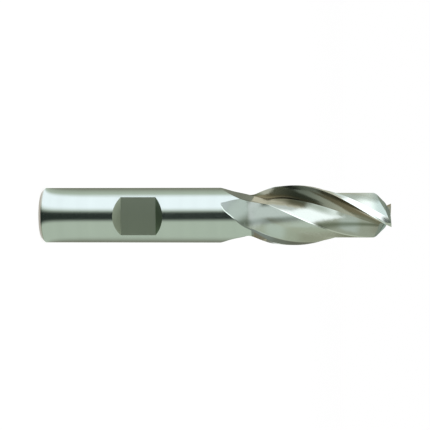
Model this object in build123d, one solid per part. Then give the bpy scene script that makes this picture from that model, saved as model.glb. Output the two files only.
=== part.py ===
from build123d import *
import os
from math import acos, atan2, cos, degrees, radians, sin, sqrt, tan

# Two-flute end mill, 13 mm, on a 12 mm shank with a side clamping flat.
# It stands on its shank: origin at the centre of the shank end, +Z towards the cutting end.
# Sizes in mm, angles in degrees. The clamping flat faces -Y.

# Shank, with the grinding centre in its end
shank_diameter = 12.0
overall_length = 76.5
shank_chamfer = 0.8
centre_pilot_diameter = 1.6
centre_mouth_diameter = 3.35
centre_pilot_depth = 3.2
centre_cone_angle = 60.0
pilot_point_angle = 120.0

# Clamping flat, with a slope at each end
flat_depth = 1.65
flat_length = 7.6
flat_centre_height = 21.75
flat_flank_angle = 45.0

# Cutting part
cutter_diameter = 13.0
cut_length = 25.5
neck_cone_length = 4.6
helix_lead = 67.0
tip_edge_angle = -68.0
tooth_count = 2

# Land behind each cutting edge: a narrow round margin, then the relieved land
margin_angle = 4.0
land_angle = 15.7
land_drop = 0.64

# Back clearance behind the land. Its run-out is given by how far below the start of
# the cutting part it ends and by how it turns there.
clearance_depth = 1.65
heel_angle = 90.0
clearance_exit_below = 11.6
clearance_full_below = 5.1
clearance_blend_below = 6.6
clearance_blend_length = 3.7
exit_flat_angle = 45.0
clearance_exit_slope = 0.05
clearance_exit_drift = 2.7
exit_strip_depth = 0.07
exit_strip_relief = 12.0

# Flute in front of each cutting edge
core_diameter = 6.9
rake_angle = 10.0
gullet_length = 2.45
gullet_undercut = 1.0
shortest_gullet = 0.3
flute_exit_below = 11.6
flute_full_below = 1.4
flute_exit_drift = 1.15
edge_shift_angle = 6.0
edge_shift_start_below = 1.5
edge_shift_end_above = 3.0

# Cutting end
end_dish_angle = 1.5
end_web = 0.3
end_relief_angle = 10.0
end_relief_width = 1.2
end_second_angle = 28.0
end_second_width = 1.9
end_third_angle = 42.0
gash_angle = 40.0
corner_length = 1.35
corner_drop = 0.3

# Spacing of the sections that the helical cuts pass through, and how far the cuts overrun
section_step = 1.6
overrun = 2.0
exit_overrun = 1.0
rim_margin = 0.7
lifted_floor_margin = 0.6
outside_margin = 3.0
rake_overrun = 0.8
heel_overrun_angle = 8.0
relief_overlap = 0.15

# Shares that place the points of a section: where the gullet's curve ends on the rake face,
# and the points between the middle of the run-out flat and its rim
curved_rake_share = 0.45
flat_point_shares = (0.12, 0.4, 0.75, 1.0)

shank_radius = shank_diameter / 2
cutter_radius = cutter_diameter / 2
core_radius = core_diameter / 2
clearance_radius = cutter_radius - clearance_depth
tip_radius = cutter_radius - corner_drop
cut_start_height = overall_length - cut_length
clearance_exit_height = cut_start_height - clearance_exit_below
clearance_full_height = cut_start_height - clearance_full_below
flute_exit_height = cut_start_height - flute_exit_below
flute_full_height = cut_start_height - flute_full_below
turn_per_mm = 360.0 / helix_lead
tooth_pitch = 360.0 / tooth_count
# the flute floor where its first section lies, outside the shank
flute_run = flute_full_height - flute_exit_height
first_lift = (flute_run + exit_overrun) / flute_run
highest_floor = core_radius + (shank_radius - core_radius) * first_lift**2
# the circle that every cut's section reaches, and the wider one that closes it
cut_rim_radius = max(
    shank_radius + rim_margin, cutter_radius + rim_margin, highest_floor + lifted_floor_margin
)
outside_radius = max(shank_radius, cutter_radius) + outside_margin
# how far the end dips towards its centre
centre_drop = tip_radius * tan(radians(end_dish_angle))
# direction of the flute floor's normal, ahead of the cutting edge
floor_normal_ahead = tooth_pitch - heel_angle - degrees(acos(core_radius / clearance_radius))


def at(radius, angle, height=0.0):
    """A point given by its distance from the axis, its direction and its height."""
    return Vector(radius * cos(radians(angle)), radius * sin(radians(angle)), height)


def blend(start, end, value):
    """0 below start, 1 above end and a smooth step between."""
    share = min(max((value - start) / (end - start), 0.0), 1.0)
    return share * share * (3 - 2 * share)


def edge_angle(height):
    """Direction of the first cutting edge at a height, on the true helix."""
    return tip_edge_angle + turn_per_mm * (height - overall_length)


def out_to_rim(point, direction):
    """Where a line in the section's plane, from a point inside, meets the rim circle."""
    along = point.dot(direction)
    square = point.X**2 + point.Y**2
    return point + direction * (sqrt(along**2 + cut_rim_radius**2 - square) - along)


def section_heights(first):
    """Even heights from below a cut's exit to above the cutting end."""
    last = overall_length + overrun
    count = round((last - first) / section_step)
    return [first + (last - first) * index / count for index in range(count + 1)]


def blank():
    """The turned and ground body, before the flat and the flutes."""
    outline = Polyline(
        (0, 0),
        (shank_radius - shank_chamfer, 0),
        (shank_radius, shank_chamfer),
        (shank_radius, cut_start_height - neck_cone_length),
        (cutter_radius, cut_start_height),
        (cutter_radius, overall_length - corner_length),
        (tip_radius, overall_length),
        (0, overall_length),
        close=True,
    )
    return revolve(Plane.XZ * make_face(outline), Axis.Z)


def centre_hole():
    """The grinding centre in the shank end: a cone with a pilot hole."""
    pilot_radius = centre_pilot_diameter / 2
    mouth_radius = centre_mouth_diameter / 2
    cone_depth = (mouth_radius - pilot_radius) / tan(radians(centre_cone_angle / 2))
    drill_point = pilot_radius / tan(radians(pilot_point_angle / 2))
    outline = Polyline(
        (0, 0),
        (mouth_radius, 0),
        (pilot_radius, cone_depth),
        (pilot_radius, centre_pilot_depth),
        (0, centre_pilot_depth + drill_point),
        close=True,
    )
    return revolve(Plane.XZ * make_face(outline), Axis.Z)


def clamping_flat():
    """What is milled away for the flat, wider at the surface by its two end slopes."""
    floor = shank_radius - flat_depth
    outside = shank_radius + rim_margin
    half_floor = flat_length / 2
    half_mouth = half_floor + (outside - floor) * tan(radians(flat_flank_angle))
    outline = Polyline(
        (-floor, flat_centre_height - half_floor),
        (-floor, flat_centre_height + half_floor),
        (-outside, flat_centre_height + half_mouth),
        (-outside, flat_centre_height - half_mouth),
        close=True,
    )
    return extrude(Plane.YZ * make_face(outline), outside, both=True)


def closed_section(inner_edges, height):
    """A face between the cut surface's edges and a rim well outside the tool."""
    start = inner_edges[0] @ 0
    end = inner_edges[-1] @ 1
    start_angle = degrees(atan2(start.Y, start.X))
    end_angle = degrees(atan2(end.Y, end.X))
    span = (end_angle - start_angle + 180.0) % 360.0 - 180.0
    rim = [at(outside_radius, start_angle + span * share, height) for share in (1.0, 0.5, 0.0)]
    rim_edges = [
        Line(end, rim[0]),
        Line(rim[0], rim[1]),
        Line(rim[1], rim[2]),
        Line(rim[2], start),
    ]
    return make_face(list(inner_edges) + rim_edges)


def run_out_flat(height):
    """Points of the flat that the grinding wheel leaves where the clearance lifts out.

    The flat turns a little with the height, and a narrow strip follows its leading side.
    """
    lifted = clearance_exit_height - height
    run = clearance_full_height - clearance_exit_height
    bend = (shank_radius - clearance_radius - clearance_exit_slope * run) / run**2
    reach = shank_radius + clearance_exit_slope * lifted
    if lifted < 0:
        reach -= bend * lifted**2
    reach = max(reach, clearance_radius)

    drift = clearance_exit_drift * (height - clearance_full_height)
    normal = edge_angle(clearance_full_height) - exit_flat_angle + drift
    rim_angle = degrees(acos(reach / cut_rim_radius))

    def on_flat(angle_ahead):
        return at(reach / cos(radians(angle_ahead)), normal + angle_ahead, height)

    strip_radius = shank_radius - exit_strip_depth
    strip_angle = degrees(acos(min(reach / strip_radius, 1.0)))
    strip = on_flat(strip_angle)
    strip_out = at(1.0, normal + strip_angle + 90.0 - exit_strip_relief)
    behind = [on_flat(-share * rim_angle) for share in flat_point_shares]
    return [out_to_rim(strip, strip_out), strip] + behind


def relieved_land(height):
    """Points of the clearance at full depth: the land, a slope and an arc about the axis."""
    edge = edge_angle(height)
    land_end_radius = cutter_radius - land_drop
    margin = at(cutter_radius, edge - margin_angle, height)
    land_end = at(land_end_radius, edge - land_angle, height)
    land_start = out_to_rim(land_end, (margin - land_end).normalized())
    # the slope runs into the arc without a kink
    arc_start = land_angle + degrees(acos(clearance_radius / land_end_radius))
    sweep = heel_angle + heel_overrun_angle - arc_start
    last = len(flat_point_shares) - 1
    arc = [
        at(clearance_radius, edge - arc_start - sweep * index / last, height)
        for index in range(last + 1)
    ]
    return [land_start, land_end] + arc


def clearance_section(height):
    """Section of the back clearance cut of the first tooth at a height."""
    blend_start = cut_start_height - clearance_blend_below
    share = blend(blend_start, blend_start + clearance_blend_length, height)
    points = [
        low * (1 - share) + high * share
        for low, high in zip(run_out_flat(height), relieved_land(height))
    ]
    # the curve carries on from the slope before it, and leaves as an even bend does
    arriving = (points[2] - points[1]).normalized()
    chords = [(points[index + 1] - points[index]).normalized() for index in (-3, -2)]
    leaving = chords[1] * 1.5 - chords[0] * 0.5
    curve = Spline(points[2:], tangents=(arriving, leaving))
    return closed_section([Line(points[0], points[1]), Line(points[1], points[2]), curve], height)


def flute_section(height):
    """Section of the flute in front of the first tooth at a height.

    The floor runs from the heel of the tooth ahead, touches the core and meets the hollow
    gullet under the rake face. Towards the shank the floor rises and the gullet ends, as the
    grinding wheel lifts out.
    """
    lift = max((flute_full_height - height) / flute_run, 0.0)
    floor = core_radius + (shank_radius - core_radius) * lift**2
    drift = flute_exit_drift * min(height - flute_full_height, 0.0)
    normal = edge_angle(max(height, flute_full_height)) + floor_normal_ahead + drift

    shift_start = cut_start_height - edge_shift_start_below
    shift_end = cut_start_height + edge_shift_end_above
    shift = edge_shift_angle * (1 - blend(shift_start, shift_end, height))
    lifted_edge = normal - degrees(acos(floor / cut_rim_radius))
    rake_edge = max(edge_angle(height) + shift, lifted_edge)

    floor_middle = at(floor, normal, height)
    along_floor = at(1.0, normal - 90.0)
    corner = at(cutter_radius, rake_edge, height)
    outwards = at(1.0, rake_edge + rake_angle)
    # where the floor line meets the rake line
    short_of_floor = floor - corner.dot(at(1.0, normal))
    meeting = corner + outwards * (short_of_floor / outwards.dot(at(1.0, normal)))
    rake_length = max((corner - meeting).dot(outwards), 0.0) + rake_overrun
    deep = (shank_radius - floor) / (shank_radius - core_radius)

    rim_half = sqrt(cut_rim_radius**2 - floor**2)
    floor_start = floor_middle - along_floor * rim_half
    gullet_start = meeting - along_floor * max(gullet_length * deep, shortest_gullet)
    gullet_bottom = meeting - outwards * gullet_undercut * deep
    gullet_end = meeting + outwards * curved_rake_share * rake_length
    rake_end = meeting + outwards * rake_length
    return closed_section(
        [
            Line(floor_start, gullet_start),
            Bezier(gullet_start, gullet_bottom, gullet_end),
            Line(gullet_end, rake_end),
        ],
        height,
    )


def helical_cut(section, exit_height):
    """A solid through the sections of one helical cut."""
    return loft([section(height) for height in section_heights(exit_height - exit_overrun)])


def end_frame():
    """Plane at the tip: x along the first tooth's end edge, z upwards, y ahead of the edge."""
    return Plane(
        origin=(0, 0, overall_length),
        x_dir=at(1.0, tip_edge_angle),
        z_dir=(0, 0, 1),
    )


def end_relief():
    """What is ground off behind the end cutting edge, in three steps."""
    first = end_web / 2
    widths = (end_relief_width, end_second_width, cutter_radius)
    angles = (end_relief_angle, end_second_angle, end_third_angle)
    points = [(first, 0.0)]
    for width, angle in zip(widths, angles):
        across, level = points[-1]
        points.append((across - width, level - width * tan(radians(angle))))
    points += [(points[-1][0], overrun), (first, overrun)]
    # drawn across the tooth, and pushed from just short of the axis past the rim
    face = Plane.YZ * make_face(Polyline(*points, close=True))
    prism = Pos(-relief_overlap, 0, 0) * extrude(face, outside_radius + relief_overlap)
    return end_frame() * (Pos(0, 0, -centre_drop) * (Rot(Y=-end_dish_angle) * prism))


def end_gash():
    """The sloping cut across the flute, from the centre of the end."""
    half = outside_radius
    slope = Plane(
        origin=(0, 0, -centre_drop),
        x_dir=at(1.0, floor_normal_ahead + 90.0),
        z_dir=at(sin(radians(gash_angle)), floor_normal_ahead, cos(radians(gash_angle))),
    )
    above = slope * Box(2 * half, 2 * half, half, align=(Align.CENTER, Align.CENTER, Align.MIN))
    ahead = Pos(0, end_web / 2, -half) * Box(
        half, half, 2 * half, align=(Align.MIN, Align.MIN, Align.MIN)
    )
    return end_frame() * (above & ahead)


def end_mill():
    """The whole tool, one piece."""
    body = blank() - centre_hole() - clamping_flat()
    cuts = [
        helical_cut(clearance_section, clearance_exit_height),
        helical_cut(flute_section, flute_exit_height),
        end_relief(),
        end_gash(),
    ]
    for tooth in range(tooth_count):
        turn = Rot(Z=tooth * tooth_pitch)
        for cut in cuts:
            body = body - turn * cut
    return body


part = end_mill()
part.label = "end_mill"
os.makedirs("parts", exist_ok=True)
export_step(part, "parts/end_mill.step")
print("end_mill volume", round(part.volume, 2), "solids", len(part.solids()), "valid", part.is_valid)
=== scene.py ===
import math

import bpy
from mathutils import Matrix, Vector


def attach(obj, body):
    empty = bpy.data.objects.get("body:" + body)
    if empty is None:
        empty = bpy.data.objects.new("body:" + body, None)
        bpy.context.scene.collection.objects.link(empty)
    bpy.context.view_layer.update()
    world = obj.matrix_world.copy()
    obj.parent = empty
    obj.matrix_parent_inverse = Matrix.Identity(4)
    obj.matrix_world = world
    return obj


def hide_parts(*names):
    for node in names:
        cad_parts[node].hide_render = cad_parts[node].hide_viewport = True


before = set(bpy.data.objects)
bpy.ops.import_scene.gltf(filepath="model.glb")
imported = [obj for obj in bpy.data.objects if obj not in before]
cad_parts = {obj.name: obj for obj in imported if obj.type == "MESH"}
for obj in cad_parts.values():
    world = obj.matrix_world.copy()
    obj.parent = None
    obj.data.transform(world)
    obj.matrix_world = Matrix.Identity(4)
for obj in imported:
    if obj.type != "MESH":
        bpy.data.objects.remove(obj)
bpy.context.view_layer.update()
print("frame loaded, nodes:", sorted(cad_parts))

mm = 0.001


# Node helpers

def feed(tree, socket, value):
    # a socket takes a link from another node, or a plain value
    if hasattr(value, "is_output"):
        tree.links.new(value, socket)
    else:
        socket.default_value = value


def mathNode(tree, operation, first, second=None, third=None):
    node = tree.nodes.new("ShaderNodeMath")
    node.operation = operation
    for socket, value in zip(node.inputs, (first, second, third)):
        if value is not None:
            feed(tree, socket, value)
    return node.outputs[0]


def smoothStep(tree, value, low, high, falling=False):
    # from 0 up to 1 between low and high, or from 1 down to 0
    step = tree.nodes.new("ShaderNodeMapRange")
    step.interpolation_type = "SMOOTHSTEP"
    feed(tree, step.inputs["Value"], value)
    feed(tree, step.inputs["From Min"], low)
    feed(tree, step.inputs["From Max"], high)
    step.inputs["To Min"].default_value = 1.0 if falling else 0.0
    step.inputs["To Max"].default_value = 0.0 if falling else 1.0
    return step.outputs["Result"]


def mixTone(tree, factor, first, second):
    mix = tree.nodes.new("ShaderNodeMix")
    mix.data_type = "RGBA"
    for socket, tone in ((mix.inputs["A"], first), (mix.inputs["B"], second)):
        feed(tree, socket, tone if hasattr(tone, "is_output") else (*tone, 1.0))
    feed(tree, mix.inputs["Factor"], factor)
    return mix.outputs["Result"]


def splitVector(tree, vector):
    split = tree.nodes.new("ShaderNodeSeparateXYZ")
    tree.links.new(vector, split.inputs[0])
    return split.outputs


def fromAxis(tree, x, y):
    squares = mathNode(tree, "MULTIPLY_ADD", x, x, mathNode(tree, "MULTIPLY", y, y))
    return mathNode(tree, "SQRT", squares)


def newGroup(name, inputs, outputs):
    group = bpy.data.node_groups.new(name, "ShaderNodeTree")
    for socketName, kind, value in inputs:
        socket = group.interface.new_socket(socketName, in_out="INPUT", socket_type=kind)
        if value is not None:
            socket.default_value = value
    for socketName, kind in outputs:
        group.interface.new_socket(socketName, in_out="OUTPUT", socket_type=kind)
    given = group.nodes.new("NodeGroupInput").outputs
    out = group.nodes.new("NodeGroupOutput").inputs
    return group, given, out


def placeGroup(tree, group, values):
    node = tree.nodes.new("ShaderNodeGroup")
    node.node_tree = group
    for socketName, value in values.items():
        feed(tree, node.inputs[socketName], value)
    return node.outputs


# Shader groups for ground steel

def buildUntwist():
    # turns the helical flutes straight, so that a pattern can follow them
    group, given, out = newGroup(
        "untwist",
        [("Vector", "NodeSocketVector", None), ("Lead", "NodeSocketFloat", 0.067),
         ("Across", "NodeSocketFloat", 1.0), ("Along", "NodeSocketFloat", 0.02)],
        [("Vector", "NodeSocketVector")],
    )
    x, y, z = splitVector(group, given["Vector"])
    turn = mathNode(group, "DIVIDE", z, given["Lead"])
    turn = mathNode(group, "MULTIPLY", turn, -2 * math.pi)
    cosine = mathNode(group, "COSINE", turn)
    sine = mathNode(group, "SINE", turn)
    straightX = mathNode(group, "SUBTRACT", mathNode(group, "MULTIPLY", x, cosine),
                         mathNode(group, "MULTIPLY", y, sine))
    straightY = mathNode(group, "ADD", mathNode(group, "MULTIPLY", x, sine),
                         mathNode(group, "MULTIPLY", y, cosine))
    join = group.nodes.new("ShaderNodeCombineXYZ")
    for socket, part, stretch in zip(join.inputs, (straightX, straightY, z),
                                     ("Across", "Across", "Along")):
        feed(group, socket, mathNode(group, "MULTIPLY", part, given[stretch]))
    feed(group, out["Vector"], join.outputs[0])
    return group


def buildGrind():
    # fine parallel scratches and a slow unevenness, as a height and a 0 to 1 value
    group, given, out = newGroup(
        "grindLines",
        [("Vector", "NodeSocketVector", None), ("Fineness", "NodeSocketFloat", 9000.0),
         ("Patch Size", "NodeSocketFloat", 300.0)],
        [("Height", "NodeSocketFloat"), ("Patches", "NodeSocketFloat")],
    )
    lines = group.nodes.new("ShaderNodeTexNoise")
    lines.inputs["Detail"].default_value = 3.0
    lines.inputs["Roughness"].default_value = 0.6
    patches = group.nodes.new("ShaderNodeTexNoise")
    patches.inputs["Detail"].default_value = 2.0
    for noise, size, result in ((lines, "Fineness", "Height"), (patches, "Patch Size", "Patches")):
        feed(group, noise.inputs["Vector"], given["Vector"])
        feed(group, noise.inputs["Scale"], given[size])
        feed(group, out[result], noise.outputs["Fac"])
    return group


def degreesBehind(group, given):
    # how far a point is behind the first cutting edge at its own height, not yet wrapped
    x, y, z = splitVector(group, given["Vector"])
    line = mathNode(group, "DIVIDE", z, given["Lead"])
    line = mathNode(group, "MULTIPLY_ADD", line, 360.0, given["Edge"])
    angle = mathNode(group, "ARCTAN2", y, x)
    return mathNode(group, "MULTIPLY_ADD", angle, -180 / math.pi, line), z


def buildHelixLine():
    # a soft line that follows the helix, a set angle behind each cutting edge
    group, given, out = newGroup(
        "helixLine",
        [("Vector", "NodeSocketVector", None), ("Lead", "NodeSocketFloat", 0.067),
         ("Edge", "NodeSocketFloat", 0.0), ("Behind", "NodeSocketFloat", 0.0),
         ("Half Width", "NodeSocketFloat", 2.0)],
        [("Mask", "NodeSocketFloat")],
    )
    behind, _ = degreesBehind(group, given)
    away = mathNode(group, "SUBTRACT", behind, given["Behind"])
    away = mathNode(group, "ABSOLUTE", mathNode(group, "WRAP", away, 90.0, -90.0))
    away = mathNode(group, "DIVIDE", away, given["Half Width"])
    feed(group, out["Mask"], smoothStep(group, away, 0.0, 1.0, falling=True))
    return group


def buildHeightRise():
    # 0 low on the cut, rising to 1 between two heights; the line between can slant, by so many
    # metres a degree behind the cutting edge. It places where painted shade, painted highlights
    # and painted reflections lie on the steel.
    group, given, out = newGroup(
        "heightRise",
        [("Vector", "NodeSocketVector", None), ("Lead", "NodeSocketFloat", 0.067),
         ("Edge", "NodeSocketFloat", 0.0), ("Slant", "NodeSocketFloat", 0.0),
         ("Low", "NodeSocketFloat", 0.046), ("High", "NodeSocketFloat", 0.054)],
        [("Rise", "NodeSocketFloat")],
    )
    behind, height = degreesBehind(group, given)
    behind = mathNode(group, "WRAP", behind, 180.0, 0.0)
    slanted = mathNode(group, "SUBTRACT", height,
                       mathNode(group, "MULTIPLY", behind, given["Slant"]))
    feed(group, out["Rise"], smoothStep(group, slanted, given["Low"], given["High"]))
    return group


def buildRim():
    # 1 close under a round surface of a given radius, such as a shank's, and 0 deeper in
    group, given, out = newGroup(
        "rim",
        [("Vector", "NodeSocketVector", None), ("Radius", "NodeSocketFloat", 0.006),
         ("Depth", "NodeSocketFloat", 0.0001)],
        [("Mask", "NodeSocketFloat")],
    )
    x, y, _ = splitVector(group, given["Vector"])
    inner = mathNode(group, "SUBTRACT", given["Radius"], given["Depth"])
    feed(group, out["Mask"], smoothStep(group, fromAxis(group, x, y), inner, given["Radius"]))
    return group


untwistGroup = buildUntwist()
grindGroup = buildGrind()
helixLineGroup = buildHelixLine()
heightRiseGroup = buildHeightRise()
rimGroup = buildRim()
print("shader groups built")


# The tool: the CAD shape, with each ground zone in its own finish

# Where the zones lie, in mm and degrees, as on the CAD part. A facing is how squarely a face
# looks outwards, 1 being fully.
tool = {
    "length": 76.5,
    "shankRadius": 6.0,
    "shankFacing": 0.985,
    "cutterRadius": 6.5,
    "chamferTop": 0.8,
    "flatDepth": 4.35,  # from the axis
    "flatSide": 3.5,  # all of the flat's faces are further from the axis than this
    "flatLow": 15.8,
    "flatHigh": 27.7,
    "slack": 0.02,  # how near a face has to be to the flat or the shank's surface
    "cutSlack": 0.03,  # the same where the cuts reach the shank
    "cutsStart": 39.3,  # the shank is whole below this
    "neckStart": 46.4,
    "lead": 67.0,
    "tipEdge": -68.0,  # direction of the first cutting edge at the tip
    "marginStart": 174.0,  # this and the next three are degrees behind a cutting edge
    "landEnd": 16.0,
    "heel": 91.0,
    "gulletStart": 157.0,
    "marginRadius": 6.3,
    "marginFacing": 0.8,
    "landRadius": 5.7,
    "landFacing": 0.7,
    "rakeFacing": 0.5,  # forwards, not outwards
    "endFacing": 0.55,  # upwards
    "endZone": 3.4,  # reach of the end's faces down from the tip
    "parting": (60.0, 3.6),  # between the two cuts on the shank: degrees, and degrees a mm
}
# the first cutting edge, seen with the helix straightened
tool["straightEdge"] = tool["tipEdge"] - 360.0 * tool["length"] / tool["lead"]

# Near-white tones. Along the cutting edges, the lands' back edges and the heels they are painted
# highlights; along the rim where a cut meets a round surface they are real wear with a painted
# highlight.
edgeHighlight = (0.96, 0.97, 0.95)
rimWearAndHighlight = (0.95, 0.96, 0.94)
heelHighlight = (tool["heel"], 2.2, edgeHighlight, 46, 68)

# Finishes of the steel: colour, roughness and its spread, scratch height, and how the
# scratches run and how fine they are. Heights are in mm, and a slant in mm a degree behind
# the cutting edge.
# shade: painted shade that darkens the cut's low end: how dark, two heights between which it
# clears, and how that line slants.
# rim: the bright rim that a cut has just under a radius, partly real wear and partly a painted
# highlight: that radius, the rim's depth, two heights between which it sets in, and their slant.
# bands lie across the cut as painted shade and painted reflection: lower edge, middle, upper edge,
# slant and tone.
# streaks follow the helix as painted highlights and painted shade: degrees behind the cutting
# edge, half width, tone, and the heights where they begin and end.
finishes = {
    "groundShank": {"color": (0.66, 0.68, 0.66), "rough": 0.15, "spread": 0.05, "bump": 0.05,
                    "run": "around", "fineness": 5200.0},
    "turnedChamfer": {"color": (0.46, 0.44, 0.38), "rough": 0.34, "spread": 0.08, "bump": 0.15,
                      "run": "around", "fineness": 4200.0},
    "millFlat": {"color": (0.55, 0.58, 0.47), "rough": 0.36, "spread": 0.05, "bump": 0.12,
                 "run": "across", "fineness": 4800.0},
    # the flat's two end slopes are the flat's own milled steel, given darker tones as painted
    # shade
    "flatLowSlopePaintedShade": {"color": (0.34, 0.35, 0.29), "rough": 0.32, "spread": 0.06, "bump": 0.12,
                     "run": "across", "fineness": 4800.0},
    "flatHighSlopePaintedShade": {"color": (0.22, 0.27, 0.20), "rough": 0.30, "spread": 0.06, "bump": 0.12,
                      "run": "across", "fineness": 4800.0},
    "groundFlute": {"color": (0.63, 0.64, 0.62), "rough": 0.13, "spread": 0.05, "bump": 0.06,
                    "run": "helix", "fineness": 3400.0, "shade": (0.60, 43.0, 47.0, 0.0),
                    "bands": ((39.6, 42.2, 45.4, 0.204, (0.30, 0.32, 0.27)),),
                    "streaks": (heelHighlight, (150, 27, (0.20, 0.21, 0.17), 49, 61))},
    # the rake faces are the flute's steel in a darker, browner tone, a painted reflection of dark,
    # warm surroundings
    "groundGullet": {"color": (0.32, 0.30, 0.235), "rough": 0.18, "spread": 0.08, "bump": 0.12,
                     "run": "helix", "fineness": 3000.0,
                     "rim": (tool["cutterRadius"], 0.34, 46.0, 49.0, 0.0),
                     "bands": ((20.0, 21.0, 49.0, 0.0, (0.38, 0.385, 0.37)),
                               (48.5, 56.0, 72.0, 0.0, (0.09, 0.095, 0.075)))},
    "groundClearance": {"color": (0.70, 0.73, 0.69), "rough": 0.20, "spread": 0.05,
                        "bump": 0.10, "run": "helix", "fineness": 3800.0,
                        "shade": (0.50, 41.6, 45.4, 0.156),
                        "rim": (tool["shankRadius"], 0.09, 29.0, 30.0, 0.377),
                        "bands": ((40.4, 42.2, 44.4, 0.156, (0.24, 0.26, 0.24)),
                                  (63.5, 67.5, 72.0, 0.0, (0.46, 0.48, 0.43)),
                                  (71.5, 74.0, 90.0, 0.0, (0.43, 0.48, 0.46))),
                        "streaks": (heelHighlight,)},
    "honedLand": {"color": (0.76, 0.78, 0.77), "rough": 0.15, "spread": 0.04, "bump": 0.05,
                  "run": "helix", "fineness": 4600.0, "shade": (0.42, 58.0, 64.0, 0.0),
                  "streaks": ((0.0, 3.0, edgeHighlight, 50, 76), (15.5, 2.0, edgeHighlight, 46, 76))},
    "groundEnd": {"color": (0.42, 0.47, 0.46), "rough": 0.22, "spread": 0.06, "bump": 0.12,
                  "run": "across", "fineness": 4200.0},
}

# what all the finishes share
grinding = {
    "stretch": {"around": (0.02, 0.02, 1.0), "across": (0.03, 1.0, 1.0)},
    "darkest": 0.92,  # the finish's colour varies between these shares of it
    "palest": 1.06,
    "patchy": (0.8, 0.4),  # how far a streak's strength varies, and its least
    "streakBegins": 3.0,  # mm over which a streak sets in
    "streakEnds": 5.0,
    "scratchDepth": 0.01,  # mm
}


def steel(name, finish):
    material = bpy.data.materials.new(name)
    material.use_nodes = True
    tree = material.node_tree
    shader = tree.nodes["Principled BSDF"]
    shader.inputs["Metallic"].default_value = 1.0
    onTool = tree.nodes.new("ShaderNodeTexCoord").outputs["Object"]
    helix = {"Vector": onTool, "Lead": tool["lead"] * mm}

    if finish["run"] == "helix":
        place = placeGroup(tree, untwistGroup, helix)["Vector"]
    else:
        mapping = tree.nodes.new("ShaderNodeMapping")
        mapping.inputs["Scale"].default_value = grinding["stretch"][finish["run"]]
        tree.links.new(onTool, mapping.inputs["Vector"])
        place = mapping.outputs["Vector"]
    grind = placeGroup(tree, grindGroup, {"Vector": place, "Fineness": finish["fineness"]})
    helix["Edge"] = tool["straightEdge"]

    def scaled(share):
        return tuple(min(1.0, share * part) for part in finish["color"])

    def risingFrom(low, high, slant=0.0):
        return placeGroup(tree, heightRiseGroup, {
            **helix, "Slant": slant * mm, "Low": low * mm, "High": high * mm})["Rise"]

    def both(first, second):
        return mathNode(tree, "MULTIPLY", first, second)

    def opposite(value):
        return mathNode(tree, "SUBTRACT", 1.0, value)

    tone = mixTone(tree, grind["Patches"], scaled(grinding["darkest"]), scaled(grinding["palest"]))
    # painted shade: the cut's colour darkened below a slanted height
    if "shade" in finish:
        dark, low, high, slant = finish["shade"]
        tone = mixTone(tree, risingFrom(low, high, slant), scaled(dark), tone)
    # painted highlight with some real wear: near-white just under a radius
    if "rim" in finish:
        radius, depth, low, high, slant = finish["rim"]
        rim = placeGroup(tree, rimGroup, {
            "Vector": onTool, "Radius": radius * mm, "Depth": depth * mm})["Mask"]
        tone = mixTone(tree, both(rim, risingFrom(low, high, slant)), tone, rimWearAndHighlight)
    # painted shade and painted reflection in bands across the cut
    for low, middle, high, slant, paintedBandTone in finish.get("bands", ()):
        strength = both(risingFrom(low, middle, slant), opposite(risingFrom(middle, high, slant)))
        tone = mixTone(tree, strength, tone, paintedBandTone)
    # painted highlights and painted shade in streaks along the helix
    for behind, halfWidth, paintedStreakTone, begin, end in finish.get("streaks", ()):
        line = placeGroup(tree, helixLineGroup, {
            **helix, "Behind": behind, "Half Width": halfWidth})["Mask"]
        patchy = mathNode(tree, "MULTIPLY_ADD", grind["Patches"], *grinding["patchy"])
        reach = both(risingFrom(begin, begin + grinding["streakBegins"]),
                     opposite(risingFrom(end, end + grinding["streakEnds"])))
        tone = mixTone(tree, both(both(line, patchy), reach), tone, paintedStreakTone)
    tree.links.new(tone, shader.inputs["Base Color"])

    dull = mathNode(tree, "MULTIPLY_ADD", grind["Height"], finish["spread"],
                    finish["rough"] - 0.5 * finish["spread"])
    tree.links.new(dull, shader.inputs["Roughness"])

    bump = tree.nodes.new("ShaderNodeBump")
    bump.inputs["Strength"].default_value = finish["bump"]
    bump.inputs["Distance"].default_value = grinding["scratchDepth"] * mm
    tree.links.new(grind["Height"], bump.inputs["Height"])
    tree.links.new(bump.outputs["Normal"], shader.inputs["Normal"])
    return material


materials = {name: steel(name, finish) for name, finish in finishes.items()}
print("finishes built:", len(materials))


def flatZone(z, y):
    if abs(y + tool["flatDepth"]) < tool["slack"]:
        return "millFlat"
    return "flatLowSlopePaintedShade" if z < 0.5 * (tool["flatLow"] + tool["flatHigh"]) else "flatHighSlopePaintedShade"


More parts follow.
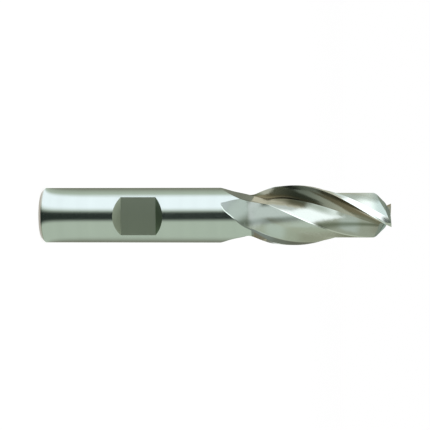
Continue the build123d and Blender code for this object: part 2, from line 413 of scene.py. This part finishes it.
def zoneOf(centre, normal):
    x, y, z = (part / mm for part in centre)
    radius = math.hypot(x, y)
    if z < tool["chamferTop"]:
        return "turnedChamfer"
    cutAway = radius < tool["shankRadius"] - tool["slack"] and y < -tool["flatSide"]
    if cutAway and tool["flatLow"] < z < tool["flatHigh"]:
        return flatZone(z, y)
    if z < tool["cutsStart"]:
        return "groundShank"
    if normal.z > tool["endFacing"] and z > tool["length"] - tool["endZone"]:
        return "groundEnd"

    outwards = (x * normal.x + y * normal.y) / max(radius, 1e-6)
    forwards = (x * normal.y - y * normal.x) / max(radius, 1e-6)
    onShank = radius > tool["shankRadius"] - tool["cutSlack"] and z < tool["neckStart"]
    if onShank and outwards > tool["shankFacing"]:
        return "groundShank"

    edge = tool["tipEdge"] + 360.0 * (z - tool["length"]) / tool["lead"]
    behind = (edge - math.degrees(math.atan2(y, x))) % 180.0
    if behind < tool["landEnd"]:
        if forwards > tool["rakeFacing"]:
            return "groundGullet"
        if radius > tool["landRadius"] and outwards > tool["landFacing"]:
            return "honedLand"
    if (behind > tool["marginStart"] and radius > tool["marginRadius"]
            and outwards > tool["marginFacing"]):
        return "honedLand"

    # the two cuts end apart on the shank, so the line between them slants there
    parting, slope = tool["parting"]
    if behind < min(tool["heel"], parting + slope * (z - tool["cutsStart"])):
        return "groundClearance"
    return "groundFlute" if behind < tool["gulletStart"] else "groundGullet"


def makeMill():
    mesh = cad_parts["end_mill"].data.copy()
    mesh.name = "endMillGround"
    mill = bpy.data.objects.new("endMillGround", mesh)
    bpy.context.scene.collection.objects.link(mill)
    mesh.materials.clear()
    for material in materials.values():
        mesh.materials.append(material)
    order = list(materials)
    for face in mesh.polygons:
        face.material_index = order.index(zoneOf(face.center, face.normal))
    return mill


mill = makeMill()
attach(mill, "root")
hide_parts("end_mill")
print("tool built:", len(mill.data.polygons), "faces")


# The studio: a narrow round tent of soft cards about the shank, a wider one above it about
# the cutting part, a pale floor and a white surround

# the photographer's side of the tool, and the lens, in mm and degrees
view = {
    "side": -93.0,  # direction of the camera round the tool
    "distance": 382.5,
    "height": 72.3,
    "aimHeight": 38.25,
    "lens": 147.1,
    "shiftX": -0.0015,
    "shiftY": 0.0004,
}

studio = {
    "tentSides": 96,
    "floorHalf": 4.0,  # m
    "floorTone": 0.9,
    "floorGlow": 0.86,  # what the camera sees of the floor by itself
    "floorDim": 0.7,  # share of the lamp's light that the camera doesn't see on the floor
    "surroundLight": 0.5,
    "lampPower": 3.0,
    "lampSize": 1.2,
    "lampPlace": (0.1, -0.1, 1.1),
}

# Each card: its middle round the tool in degrees from the camera's side, plus being upwards
# in the picture, its half width and soft edge, how far it leans in degrees a mm, its lowest
# and highest level and their soft edge in mm, and its tone. A level is measured up the wall
# from its foot and on inwards over a lid, and on the tent's floor from there inwards, as
# minus. Later cards lie over earlier ones.
shankTent = {
    "foot": 0.5,
    "top": 46.48,
    "radius": 60.0,
    "hole": 7.5,
    "lid": True,
    "wall": (0.56, 0.66, 0.55),
    "cards": {
        "backShade": (180, 62, 26, 0, -80, 140, 5, (0.26, 0.28, 0.22)),
        "longSoftBox": (54, 32, 12, 0, -80, 60, 5, (1.22, 1.36, 1.42)),
        "darkFlag": (-4, 18, 9, 0, -80, 80, 4, (0.025, 0.035, 0.03)),
        "lidFlag": (-4, 16, 8, 0, 82, 250, 6, (0.50, 0.58, 0.48)),
        "lidBox": (36, 32, 9, 0, 66, 250, 6, (1.20, 1.38, 1.32)),
    },
}
millTent = {
    "foot": 46.5,
    "top": 240.0,
    "radius": 150.0,
    "hole": 7.5,
    "lid": False,
    "wall": (0.44, 0.49, 0.39),
    "cards": {
        "paleFloorCard": (-10, 100, 20, 0, -150, -75, 6, (0.50, 0.48, 0.36)),
        "backRim": (-130, 30, 12, 0, -115, -25, 10, (1.25, 1.32, 1.26)),
        "leftShade": (-130, 34, 14, 0, -14, 60, 10, (0.36, 0.38, 0.29)),
        "leftBox": (-42, 22, 10, 0, -40, 80, 10, (0.56, 0.65, 0.58)),
        "lowCard": (88, 36, 12, 0, -150, 12, 6, (0.26, 0.25, 0.17)),
        "warmFloor": (134, 32, 12, 0, -150, 8, 8, (0.64, 0.62, 0.48)),
        "warmCard": (108, 50, 14, 0, 10, 26, 7, (0.62, 0.60, 0.46)),
        "greyBox": (104, 52, 12, 0, 20, 60, 8, (0.70, 0.78, 0.74)),
        "topBox": (84, 46, 12, 0, 44, 240, 9, (1.50, 1.60, 1.62)),
        "leaningBox": (9, 42, 9, 0.85, 2, 92, 14, (1.42, 1.55, 1.55)),
        "floorBox": (20, 34, 9, 0, -165, 8, 8, (1.30, 1.46, 1.42)),
        "floorFlag": (64, 22, 8, 0, -165, -90, 8, (0.24, 0.275, 0.22)),
        "endFlag": (171, 26, 8, 0, 58, 84, 5, (0.12, 0.14, 0.12)),
        "cornerFlag": (28, 18, 6, 0, 98, 142, 5, (0.09, 0.11, 0.09)),
    },
}


def buildCardMask():
    # 1 inside a card and 0 outside, with soft edges round the tool and along it
    group, given, out = newGroup(
        "cardMask",
        [("Around", "NodeSocketFloat", 0.0), ("Level", "NodeSocketFloat", 0.0),
         ("Middle", "NodeSocketFloat", 0.0), ("Half Width", "NodeSocketFloat", 20.0),
         ("Edge", "NodeSocketFloat", 5.0), ("Lean", "NodeSocketFloat", 0.0),
         ("Low", "NodeSocketFloat", 0.0), ("High", "NodeSocketFloat", 50.0),
         ("Fade", "NodeSocketFloat", 5.0)],
        [("Mask", "NodeSocketFloat")],
    )

    def softStep(value, middle, half, falling):
        return smoothStep(group, value, mathNode(group, "SUBTRACT", middle, half),
                          mathNode(group, "ADD", middle, half), falling)

    level = given["Level"]
    middle = mathNode(group, "MULTIPLY_ADD", level, given["Lean"], given["Middle"])
    away = mathNode(group, "SUBTRACT", given["Around"], middle)
    away = mathNode(group, "ABSOLUTE", mathNode(group, "WRAP", away, 180.0, -180.0))
    sideways = softStep(away, given["Half Width"], given["Edge"], True)
    above = softStep(level, given["Low"], given["Fade"], False)
    below = softStep(level, given["High"], given["Fade"], True)
    mask = mathNode(group, "MULTIPLY", sideways, mathNode(group, "MULTIPLY", above, below))
    feed(group, out["Mask"], mask)
    return group


cardMaskGroup = buildCardMask()


def tentMesh(name, layout):
    sides = studio["tentSides"]
    foot, top = layout["foot"] * mm, layout["top"] * mm
    radius, hole = layout["radius"] * mm, layout["hole"] * mm
    if layout["lid"]:
        rings = [(hole, top), (radius, top), (radius, foot)]
    else:
        rings = [(radius, top), (radius, foot), (hole, foot)]
    points, faces = [], []
    for ringRadius, height in rings:
        for side in range(sides):
            angle = 2 * math.pi * side / sides
            points.append((ringRadius * math.cos(angle), ringRadius * math.sin(angle), height))
    for first in range(0, sides * (len(rings) - 1), sides):
        for side in range(sides):
            here, following = first + side, first + (side + 1) % sides
            faces.append((here, following, following + sides, here + sides))
    if layout["lid"]:
        faces.append(tuple(range(2 * sides, 3 * sides)))  # this tent's floor
    mesh = bpy.data.meshes.new(name)
    mesh.from_pydata(points, [], faces)
    return mesh


def emptyMaterial(name):
    material = bpy.data.materials.new(name)
    material.use_nodes = True
    material.node_tree.nodes.clear()
    return material, material.node_tree


def showShader(tree, shader):
    out = tree.nodes.new("ShaderNodeOutputMaterial")
    tree.links.new(shader.outputs[0], out.inputs["Surface"])


def cardMaterial(name, layout):
    material, tree = emptyMaterial(name)
    x, y, z = splitVector(tree, tree.nodes.new("ShaderNodeTexCoord").outputs["Object"])
    around = mathNode(tree, "ARCTAN2", y, x)
    around = mathNode(tree, "MULTIPLY_ADD", around, -180 / math.pi, view["side"])
    around = mathNode(tree, "WRAP", around, 180.0, -180.0)

    # a level goes on inwards as plus over a lid, near the top, and as minus on a floor
    inwards = mathNode(tree, "MULTIPLY_ADD", fromAxis(tree, x, y), -1 / mm, layout["radius"])
    if layout["lid"]:
        isLid = mathNode(tree, "GREATER_THAN", z, 0.9 * layout["top"] * mm)
        sign = mathNode(tree, "MULTIPLY_ADD", isLid, 2.0, -1.0)
    else:
        sign = -1.0
    level = mathNode(tree, "MULTIPLY_ADD", z, 1 / mm, -layout["foot"])
    level = mathNode(tree, "ADD", level, mathNode(tree, "MULTIPLY", inwards, sign))

    tone = layout["wall"]
    places = ("Middle", "Half Width", "Edge", "Lean", "Low", "High", "Fade")
    for *numbers, cardTone in layout["cards"].values():
        mask = placeGroup(tree, cardMaskGroup, {
            "Around": around, "Level": level, **dict(zip(places, numbers))})["Mask"]
        tone = mixTone(tree, mask, tone, cardTone)
    glow = tree.nodes.new("ShaderNodeEmission")
    tree.links.new(tone, glow.inputs["Color"])
    showShader(tree, glow)
    return material


def cardTent(name, layout):
    mesh = tentMesh(name, layout)
    mesh.materials.append(cardMaterial(name, layout))
    tent = bpy.data.objects.new(name, mesh)
    bpy.context.scene.collection.objects.link(tent)
    tent.visible_camera = False
    tent.visible_diffuse = False
    tent.visible_shadow = False


def seenDirectly(tree):
    path = tree.nodes.new("ShaderNodeLightPath")
    seen = mathNode(tree, "MAXIMUM", path.outputs["Is Camera Ray"], path.outputs["Is Glossy Ray"])
    return mathNode(tree, "MAXIMUM", seen, path.outputs["Is Transmission Ray"])


def diffuse(tree, tone):
    shader = tree.nodes.new("ShaderNodeBsdfDiffuse")
    shader.inputs["Color"].default_value = (tone, tone, tone, 1)
    return shader


def mixShaders(tree, factor, first, second):
    mix = tree.nodes.new("ShaderNodeMixShader")
    feed(tree, mix.inputs["Fac"], factor)
    tree.links.new(first.outputs[0], mix.inputs[1])
    tree.links.new(second.outputs[0], mix.inputs[2])
    return mix


def paleFloor():
    # nearly white by itself to the camera, with a faint share of real light for the shadow
    material, tree = emptyMaterial("paleFloor")
    matt = diffuse(tree, studio["floorTone"])
    faint = mixShaders(tree, studio["floorDim"], matt, diffuse(tree, 0))
    white = tree.nodes.new("ShaderNodeEmission")
    white.inputs["Color"].default_value = (1, 1, 1, 1)
    white.inputs["Strength"].default_value = studio["floorGlow"]
    shown = tree.nodes.new("ShaderNodeAddShader")
    tree.links.new(faint.outputs[0], shown.inputs[0])
    tree.links.new(white.outputs[0], shown.inputs[1])
    showShader(tree, mixShaders(tree, seenDirectly(tree), matt, shown))

    half = studio["floorHalf"]
    mesh = bpy.data.meshes.new("paleFloor")
    corners = [(-half, -half, 0), (half, -half, 0), (half, half, 0), (-half, half, 0)]
    mesh.from_pydata(corners, [], [(0, 1, 2, 3)])
    mesh.materials.append(material)
    floor = bpy.data.objects.new("paleFloor", mesh)
    bpy.context.scene.collection.objects.link(floor)


def whiteWorld():
    # white to the eye, and a plain soft light on the tool
    world = bpy.data.worlds.new("whiteSurround")
    bpy.context.scene.world = world
    world.use_nodes = True
    tree = world.node_tree
    background = tree.nodes["Background"]
    background.inputs["Color"].default_value = (1, 1, 1, 1)
    light = studio["surroundLight"]
    strength = mathNode(tree, "MULTIPLY_ADD", seenDirectly(tree), 1.0 - light, light)
    tree.links.new(strength, background.inputs["Strength"])


def overheadLamp():
    data = bpy.data.lights.new("overhead", "AREA")
    data.energy = studio["lampPower"]
    data.size = studio["lampSize"]
    lamp = bpy.data.objects.new("overhead", data)
    lamp.location = studio["lampPlace"]
    lamp.rotation_mode = "QUATERNION"
    lamp.rotation_quaternion = (-lamp.location).to_track_quat("-Z", "Y")
    lamp.visible_camera = False
    lamp.visible_glossy = False
    bpy.context.scene.collection.objects.link(lamp)


cardTent("shankTent", shankTent)
cardTent("millTent", millTent)
paleFloor()
whiteWorld()
overheadLamp()
print("studio built")


def makeCamera():
    data = bpy.data.cameras.new("camera")
    data.lens = view["lens"]
    data.sensor_width = 36.0
    data.shift_x = view["shiftX"]
    data.shift_y = view["shiftY"]
    data.clip_start = 0.01
    data.clip_end = 20.0
    camera = bpy.data.objects.new("camera", data)
    side, distance = math.radians(view["side"]), view["distance"]
    eye = Vector((distance * math.cos(side), distance * math.sin(side), view["height"])) * mm
    back = (eye - Vector((0, 0, view["aimHeight"] * mm))).normalized()
    # the camera is turned on its side, so that the tool's axis runs to the right
    right = Vector((0, 0, 1)) - back * back.z
    right.normalize()
    up = back.cross(right)
    turned = Matrix((right, up, back)).transposed().to_4x4()
    camera.matrix_world = Matrix.Translation(eye) @ turned
    bpy.context.scene.collection.objects.link(camera)
    bpy.context.scene.camera = camera


makeCamera()
bpy.context.scene.view_settings.view_transform = "Standard"
print("camera placed")
